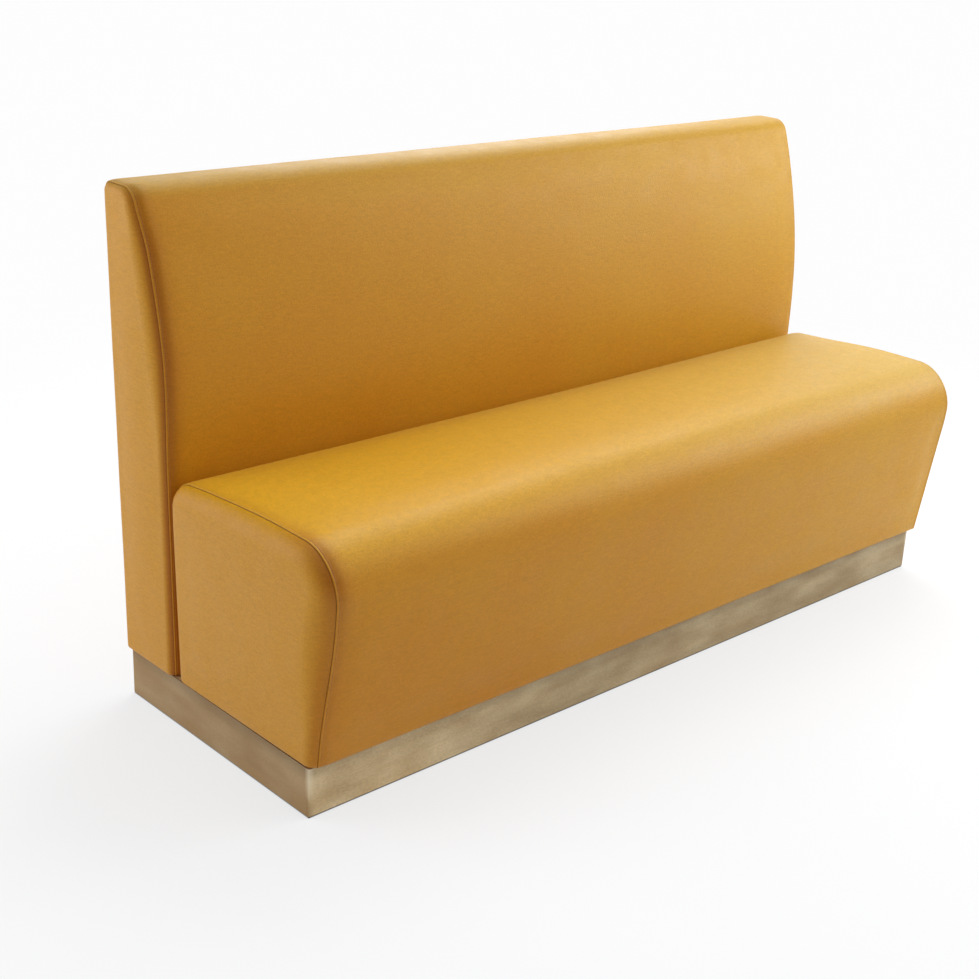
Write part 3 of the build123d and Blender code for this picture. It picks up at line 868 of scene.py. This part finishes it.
def blown(name):
    """Rest places of the closed form's points, and how far cloth under pressure moved each."""
    form = Form(name, CLOTH_SPACING)
    panels = Panels(form, CLOTH_SPACING, COARSE_WRAP_ROWS, COARSE_END_ROWS)
    builder = Builder()
    builder.grid(panels.wrap)
    wrap, normals = panels.wrap, panels.wrap_normals
    for low, above in WRAP_ENDS:
        builder.grid(foot(wrap[above], wrap[low], normals[low], form, *COARSE_FOOT_ROWS))
    for end in panels.ends.values():
        builder.grid(end["strip"])
        builder.grid(end["grid"])
        builder.grid(foot(*end_chain(end), form, *COARSE_FOOT_ROWS))
    data = builder.mesh(f"{name}_cloth", close=True)
    cloth = bpy.data.objects.new(f"{name}_cloth", data)
    scene.collection.objects.link(cloth)
    rest = points_of(data)
    held = cloth.vertex_groups.new(name="held")
    pinned = np.nonzero(support(name, rest) < FIRM)[0]
    held.add([int(k) for k in pinned], 1.0, "REPLACE")
    modifier = cloth.modifiers.new("cloth", "CLOTH")
    settings = modifier.settings
    settings.quality = 5
    settings.mass = 0.4
    settings.tension_stiffness = CLOTH_STIFFNESS
    settings.compression_stiffness = CLOTH_STIFFNESS
    settings.shear_stiffness = CLOTH_STIFFNESS / 2
    settings.bending_stiffness = 2
    settings.use_pressure = True
    settings.uniform_pressure_force = CLOTH_PRESSURE
    settings.vertex_group_mass = "held"
    settings.effector_weights.gravity = 0
    modifier.point_cache.frame_start = 1
    modifier.point_cache.frame_end = CLOTH_FRAMES
    for step in range(1, CLOTH_FRAMES + 1):
        scene.frame_set(step)
    graph = bpy.context.evaluated_depsgraph_get()
    moved = points_of(cloth.evaluated_get(graph).data) - rest
    scene.frame_set(1)
    bpy.data.objects.remove(cloth)
    return rest, moved


CROWN_CAP = 6.5 * MM
SEAM_HOLD = 0.25
HOLD_WIDTH = 55 * MM
FIELD_WIDTH = 0.62 * CLOTH_SPACING
NEAREST = 14


class Crown:
    """The cloth's movement as a field, smooth, capped, and held in at the seams."""

    def __init__(self, name):
        self.name = name
        self.tree = None
        rest, moved = blown(name)
        size = np.linalg.norm(moved, axis=1, keepdims=True)
        self.moved = moved * np.tanh(size / CROWN_CAP) * CROWN_CAP / np.maximum(size, 1e-9)
        self.tree = KDTree(len(rest))
        for index, place in enumerate(rest):
            self.tree.insert(place, index)
        self.tree.balance()

    def __call__(self, points, reach):
        flat = points.reshape(-1, 3)
        if self.tree is None:
            return np.zeros_like(points)
        pushed = np.zeros_like(flat)
        for index, place in enumerate(flat):
            _, at, away = zip(*self.tree.find_n(place, NEAREST))
            weights = np.exp(-0.5 * (np.array(away) / FIELD_WIDTH) ** 2)
            pushed[index] = weights @ self.moved[list(at)] / weights.sum()
        free = SEAM_HOLD + (1 - SEAM_HOLD) * smooth_step(reach, 0, HOLD_WIDTH)
        free = free * support(self.name, points)
        return pushed.reshape(points.shape) * free[..., None]


def points_of(data):
    flat = np.zeros(len(data.vertices) * 3)
    data.vertices.foreach_get("co", flat)
    return flat.reshape(-1, 3)


# Where support eases off: above the bottom, before the rear face, behind the back's front face,
# and about the height of the seat
EASE_BOTTOM = np.array([0.008, 0.10])
EASE_REAR = np.array([-0.020, -0.002])
EASE_FRONT = np.array([0.010, 0.030])
EASE_SEAT = np.array([-0.03, 0.10])
REAR_HOLD = 0.7


def support(name, points):
    """0 where the covering lies against something firm, and 1 where its padding is free."""
    y, z = points[..., 1], points[..., 2]
    free = smooth_step(z, *(UPHOLSTERY_BOTTOM + EASE_BOTTOM))
    rear = SEAT_REAR if name == "seat" else BACK_REAR
    behind = smooth_step(y, *(rear + EASE_REAR))
    if name == "seat":
        return free * (1 - behind)
    facing_seat = 1 - smooth_step(y, *(BACK_FRONT + EASE_FRONT))
    below = 1 - smooth_step(z, *(SEAT_TOP + EASE_SEAT))
    return free * (1 - facing_seat * below) * (1 - REAR_HOLD * behind)


# The relief across a seam: a tucked valley, a folded allowance on the wrap's side, and its
# stitch line. Beside it the cloth is painted with a dark band of shade, over a width in the wrap
# and in the end panel.

SEAM_SHADE_WIDTHS = {"seat": (22 * MM, 20 * MM), "back": (23 * MM, 10 * MM)}
SEAM_SHADE_SHARES = {"left": 1.0, "right": 0.12}
RIDGE_KEPT_PALE = 0.9
VALLEY_DEPTH = 0.35 * MM
VALLEY_WIDTH = 0.6 * MM
RIDGE_HEIGHT = 0.55 * MM
RIDGE_REACH = 1.9 * MM
RIDGE_WIDTH = 1.2 * MM
BAND_HEIGHT = 0.35 * MM
BAND_EDGES = (5.4 * MM, 7.2 * MM)
STITCH_REACH = 4.55 * MM
STITCH_DEPTH = 0.4 * MM
STITCH_WIDTH = 0.6 * MM
PULL_DEPTH = 0.45 * MM
PULL_REACH = 9.5 * MM
PULL_WIDTH = 6 * MM


def bell(reach, centre, width):
    return np.exp(-(((reach - centre) / width) ** 2))


def wrap_relief(reach):
    height = RIDGE_HEIGHT * bell(reach, RIDGE_REACH, RIDGE_WIDTH)
    height += BAND_HEIGHT * (1 - smooth_step(reach, *BAND_EDGES))
    height -= VALLEY_DEPTH * bell(reach, 0, VALLEY_WIDTH)
    height -= STITCH_DEPTH * bell(reach, STITCH_REACH, STITCH_WIDTH)
    return height - PULL_DEPTH * bell(reach, PULL_REACH, PULL_WIDTH)


def end_relief(reach):
    valley = -VALLEY_DEPTH * bell(reach, 0, VALLEY_WIDTH)
    return valley - PULL_DEPTH * bell(reach, 0, PULL_WIDTH)


WRAP_ROWS = MM * np.array(
    [0.1, 0.35, 0.6, 0.9, 1.3, 1.8, 2.3, 2.8, 3.4, 4.0, 4.3, 4.55, 4.8, 5.1, 5.6, 6.1, 6.6]
    + [7.2, 8.2, 9.5, 11.0, 13.0, 15.5, 18.5, 22.0, 26.5]
)
END_ROWS = np.array([0.1, 0.35, 0.6, 0.9, 1.3, 1.8, 2.5, 3.5, 5.0, 7.0, 9.0]) * MM

UNEVENNESS = 0.22 * MM
TOP_FALL = -5.5 * MM
TOP_SHIFT = -2.2 * MM
TOP_FALLS_OVER = (0.5, 0.9)


def undulation(points):
    """Slow unevenness of hand-pulled covering."""
    x, y, z = points[..., 0], points[..., 1], points[..., 2]
    wave = np.sin(9.1 * x + 5.3 * z + 1.1) * np.sin(13.7 * z + 4.9 * y + 0.4)
    wave = wave + 0.6 * np.sin(21.3 * x - 7.7 * z + 2.3) * np.sin(17.9 * (y + z) + 0.9)
    return UNEVENNESS * wave


def settled(name, points):
    """The back's top edge stands a little lower to the right."""
    if name != "back":
        return points
    share = smooth_step(points[..., 2], *TOP_FALLS_OVER)
    points = points.copy()
    points[..., 2] += share * (TOP_FALL * points[..., 0] + TOP_SHIFT)
    return points


def end_reach(strip_reach, grid):
    """About how far each point of an end's grid lies from the seam."""
    up = np.linalg.norm(grid[-1:] - grid, axis=-1)
    front = np.linalg.norm(grid[:, :1] - grid, axis=-1)
    rear = np.linalg.norm(grid[:, -1:] - grid, axis=-1)
    nearest = np.minimum(np.minimum(front, rear), up)
    return nearest + strip_reach[:, -1].mean()


def build_cushion(name, spacing):
    """The wrap and both end panels as meshes, and the lines that the stitches follow."""
    form = Form(name, spacing)
    crown = Crown(name)
    panels = Panels(form, spacing, WRAP_ROWS, END_ROWS)
    made = {}
    reach = np.broadcast_to(panels.wrap_reach[None, :], panels.wrap.shape[:2])
    lift = wrap_relief(reach) + undulation(panels.wrap)
    normals = panels.wrap_normals
    wrap = panels.wrap + crown(panels.wrap, reach) + normals * lift[..., None]
    wrap = settled(name, wrap)
    # A band of painted shade beside the seam, left off the allowance's ridge and far weaker at the
    # right end
    wrap_width, end_width = SEAM_SHADE_WIDTHS[name]
    ridge = bell(reach, RIDGE_REACH, RIDGE_WIDTH)
    seam_shade = bell(reach, 0, wrap_width) - RIDGE_KEPT_PALE * ridge
    leftward = panels.wrap[..., 0] < 0
    share = np.where(leftward, SEAM_SHADE_SHARES["left"], SEAM_SHADE_SHARES["right"])
    seam_shade = seam_shade.clip(0, 1) * form.seam_shade[:, None] * share
    builder = Builder()
    builder.grid(wrap, seam_shade)
    for low, above in WRAP_ENDS:
        builder.grid(foot(wrap[above], wrap[low], normals[low], form), seam_shade[low])
    made["wrap"] = builder.mesh(f"{name}_wrap")
    index = int(np.argmin(np.abs(WRAP_ROWS - STITCH_REACH)))
    made["stitch_lines"] = [(wrap[:, k], normals[:, k]) for k in (index, -1 - index)]
    for side, end in panels.ends.items():
        strip, reach = end["strip"], end["strip_reach"]
        # The end panel's band of painted shade beside the seam
        seam_shade = bell(reach, 0, end_width) * form.seam_shade[:, None] * SEAM_SHADE_SHARES[side]
        lift = end_relief(reach) + undulation(strip)
        strip = strip + crown(strip, reach) + end["strip_normals"] * lift[..., None]
        end["strip"] = settled(name, strip)
        grid = end["grid"]
        reach = end_reach(reach, grid)
        push = undulation(grid) + end_relief(reach)
        grid = settled(name, grid + crown(grid, reach) + end["normal"] * push[..., None])
        rim = end["strip"][:, -1]
        rise, over = form.rise, form.over
        grid[:, 0] = rim[: rise + 1]
        grid[-1] = rim[rise : rise + over + 1]
        grid[:, -1] = rim[rise + over :][::-1]
        end["grid"] = grid
        builder = Builder()
        builder.grid(end["strip"], seam_shade)
        builder.grid(grid)
        plain = np.zeros(grid.shape[1] - 2)
        low = np.concatenate([seam_shade[0], plain, seam_shade[-1, ::-1]])
        builder.grid(foot(*end_chain(end), form), low)
        made[side] = builder.mesh(f"{name}_end_{side}")
    return made


STITCH_PITCH = 4.2 * MM
STITCH_LENGTH = 3.1 * MM
THREAD_RADIUS = 0.34 * MM
STITCH_RISE = np.array([-0.55, 0.15, 0.3, 0.15, -0.55]) * THREAD_RADIUS
STITCH_SWELL = np.array([0.5, 0.95, 1.0, 0.95, 0.5]) * THREAD_RADIUS
THREAD_SIDES = 6


def stitches(name, lines):
    """Separate short stitches laid along lines of points."""
    points, faces = [], []
    sides, rings = THREAD_SIDES, len(STITCH_RISE)
    for line, normals in lines:
        distance = travelled(line)
        for start in np.arange(STITCH_PITCH, distance[-1] - STITCH_PITCH, STITCH_PITCH):
            at = start + np.linspace(0, 1, rings) * STITCH_LENGTH
            place = sampled(at, distance, line)
            up = unit(sampled(at, distance, normals))
            along = unit(np.gradient(place, axis=0))
            across = np.cross(along, up)
            base = len(points)
            for ring in range(rings):
                for k in range(sides):
                    angle = 2 * math.pi * k / sides
                    offset = across[ring] * math.cos(angle) + up[ring] * math.sin(angle)
                    middle = place[ring] + up[ring] * STITCH_RISE[ring]
                    points.append(middle + offset * STITCH_SWELL[ring])
            for ring in range(rings - 1):
                for k in range(sides):
                    a = base + ring * sides + k
                    b = base + ring * sides + (k + 1) % sides
                    faces.append((a, b, b + sides, a + sides))
            faces.append(tuple(base + k for k in range(sides))[::-1])
            faces.append(tuple(base + (rings - 1) * sides + k for k in range(sides)))
    data = bpy.data.meshes.new(name)
    data.from_pydata([tuple(p) for p in points], [], faces)
    data.polygons.foreach_set("use_smooth", [True] * len(data.polygons))
    return data


SPACING = 0.010
COVER_THICKNESS = 1.2 * MM
FOAMS = {
    "seat": ["seat_top_foam", "seat_front_foam"],
    "back": ["back_front_foam", "back_top_foam", "back_rear_foam"],
}


def thicken(piece):
    """The covering's own thickness, laid inwards, which closes its mesh."""
    sheet = piece.modifiers.new("thickness", "SOLIDIFY")
    sheet.thickness = COVER_THICKNESS
    sheet.offset = -1
    sheet.use_rim = True


def place_piece(name, data, material):
    """An object of the booth, which takes the given material."""
    piece = bpy.data.objects.new(name, data)
    scene.collection.objects.link(piece)
    data.materials.clear()
    data.materials.append(material)
    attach(piece, "booth")
    return piece


def place_cover(name, data, covered):
    """A panel of a cushion, which stands for the solids of its cover and its foam."""
    piece = place_piece(name, data, skin_material)
    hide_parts(*covered)
    thicken(piece)


for name in CUSHIONS:
    made = build_cushion(name, SPACING)
    place_cover(f"{name}_wrap", made["wrap"], [f"{name}_cover", *FOAMS[name]])
    for side in LEFT_RIGHT:
        covered = [f"{name}_end_cover_{side}", f"{name}_end_foam_{side}"]
        place_cover(f"{name}_end_{side}", made[side], covered)
    sewn = stitches(f"{name}_stitches", made["stitch_lines"])
    place_piece(f"{name}_stitches", sewn, thread_material)

# Floor, world and lamps

FLOOR_SIZE = 60
FLOOR_GREY = (0.8, 0.8, 0.8, 1)
FLOOR_GLOW = 0.66
GLOW_COLOUR = (0.975, 0.988, 1, 1)
FLOOR_SHARE = 0.33
FLOOR_NEAR, FLOOR_FAR = 1.1, 2.6
FAR_WHITE = 0.985
WHITE = (1, 1, 1, 1)
PLINTH_EDGE = 0.003


def outside(tree, place, middle, half):
    """0 where a place is within half a width of a middle, and 1 outside it."""
    away = math_node(tree, "ABSOLUTE", math_node(tree, "SUBTRACT", place, middle))
    return ramp(tree, away, half - PLINTH_EDGE, half, 0.0, 1.0)


def make_floor():
    """A pale floor that keeps the booth's shadow.

    Light meets a plain grey. Where the floor is seen or mirrored, it takes less light and
    glows, except under the plinth, where it is painted black as a shadow that shows in the gap
    below the plinth, and away from the booth it turns white.
    """
    data = bpy.data.meshes.new("floor")
    half = FLOOR_SIZE / 2
    corners = [(-half, -half, 0), (half, -half, 0), (half, half, 0), (-half, half, 0)]
    data.from_pydata(corners, [], [(0, 1, 2, 3)])
    floor = bpy.data.objects.new("floor", data)
    scene.collection.objects.link(floor)
    material = bpy.data.materials.new("pale_floor")
    tree = empty_tree(material)
    path = node(tree, "ShaderNodeLightPath").outputs
    seen = math_node(tree, "MAXIMUM", path["Is Camera Ray"], path["Is Glossy Ray"])
    seen = math_node(tree, "MAXIMUM", seen, path["Is Transmission Ray"])
    plain = node(tree, "ShaderNodeBsdfDiffuse", {"Color": FLOOR_GREY}).outputs[0]
    place = object_place(tree)
    x, y, _ = split_up(tree, place)
    # Painted shadow: seen or mirrored, the floor under the plinth is black
    beside = outside(tree, x, 0.0, HALF_PLINTH)
    middle, half_depth = (PLINTH_FRONT + PLINTH_REAR) / 2, (PLINTH_REAR - PLINTH_FRONT) / 2
    open_floor = math_node(tree, "MAXIMUM", beside, outside(tree, y, middle, half_depth))
    share = grey(tree, times(tree, open_floor, FLOOR_SHARE))
    faint = node(tree, "ShaderNodeBsdfDiffuse", {"Color": share}).outputs[0]
    strength = times(tree, open_floor, FLOOR_GLOW)
    glow = {"Color": GLOW_COLOUR, "Strength": strength}
    glow = node(tree, "ShaderNodeEmission", glow).outputs[0]
    near = node(tree, "ShaderNodeAddShader", {0: faint, 1: glow}).outputs[0]
    away = node(tree, "ShaderNodeVectorMath", {0: place}, operation="LENGTH")
    away = ramp(tree, away.outputs["Value"], FLOOR_NEAR, FLOOR_FAR, 0.0, 1.0)
    white = node(tree, "ShaderNodeEmission", {"Color": WHITE, "Strength": FAR_WHITE})
    bright = node(tree, "ShaderNodeMixShader", {0: away, 1: near, 2: white.outputs[0]})
    chosen = node(tree, "ShaderNodeMixShader", {0: seen, 1: plain, 2: bright.outputs[0]})
    node(tree, "ShaderNodeOutputMaterial", {"Surface": chosen.outputs[0]})
    data.materials.append(material)


# Directions that the surround's light comes from, and how strong it is there
SURROUND = [((1, 0, 0), 0.74), ((-1, 0, 0), 0.52), ((0, 0, 1), 0.85), ((0, -1, 0), 0.12)]
REARWARD = (0.69, 0.72, 0)


def make_world():
    """White behind the booth, in a soft surround.

    The surround is brightest above and to the right. Mirrored, it is dim at the camera's side.
    """
    world = bpy.data.worlds.new("studio")
    scene.world = world
    tree = empty_tree(world)
    path = node(tree, "ShaderNodeLightPath").outputs
    toward = node(tree, "ShaderNodeTexCoord").outputs["Generated"]

    def along(axis):
        inputs = {0: toward, 1: axis}
        made = node(tree, "ShaderNodeVectorMath", inputs, operation="DOT_PRODUCT")
        return made.outputs["Value"]

    def background(strength):
        inputs = {"Color": WHITE, "Strength": strength}
        return node(tree, "ShaderNodeBackground", inputs).outputs[0]

    def choice(share, first, second):
        return node(tree, "ShaderNodeMixShader", {0: share, 1: first, 2: second}).outputs[0]

    surround = None
    for axis, strength in SURROUND:
        lobe = math_node(tree, "MAXIMUM", along(axis), 0.0)
        lobe = times(tree, times(tree, lobe, lobe), strength)
        surround = lobe if surround is None else plus(tree, surround, lobe)
    reflected = ramp(tree, along(REARWARD), -0.75, 0.0, 0.15, 1.0)
    mirrored = math_node(tree, "MAXIMUM", path["Is Glossy Ray"], path["Is Transmission Ray"])
    unseen = choice(mirrored, background(surround), background(reflected))
    chosen = choice(path["Is Camera Ray"], unseen, background(1.0))
    node(tree, "ShaderNodeOutputWorld", {"Surface": chosen})


LIT_POINT = (0.1, 0.0, 0.45)


def softbox(name, place, size, energy):
    """A square area lamp that faces the booth."""
    data = bpy.data.lights.new(name, "AREA")
    data.shape = "SQUARE"
    data.size = size
    data.energy = energy
    lamp = bpy.data.objects.new(name, data)
    scene.collection.objects.link(lamp)
    lamp.location = place
    aim = Vector(place) - Vector(LIT_POINT)
    lamp.rotation_mode = "QUATERNION"
    lamp.rotation_quaternion = aim.to_track_quat("Z", "Y")


# The lamps' names, places, sizes in metres and power in watts
LAMPS = [
    ("top_rear_right", (1.4, 0.9, 2.7), 2.0, 38),
    ("rear_right", (1.6, 2.2, 1.9), 1.8, 14),
    ("left_rear", (-2.3, 1.6, 1.2), 1.6, 17),
    ("right_front", (2.4, -1.5, 1.6), 1.6, 19),
    ("right_close", (2.0, -0.7, 1.3), 0.9, 7),
    ("front_right_high", (1.3, -2.0, 2.4), 1.6, 6),
]

make_floor()
make_world()
for lamp in LAMPS:
    softbox(*lamp)

scene.view_settings.view_transform = "Standard"
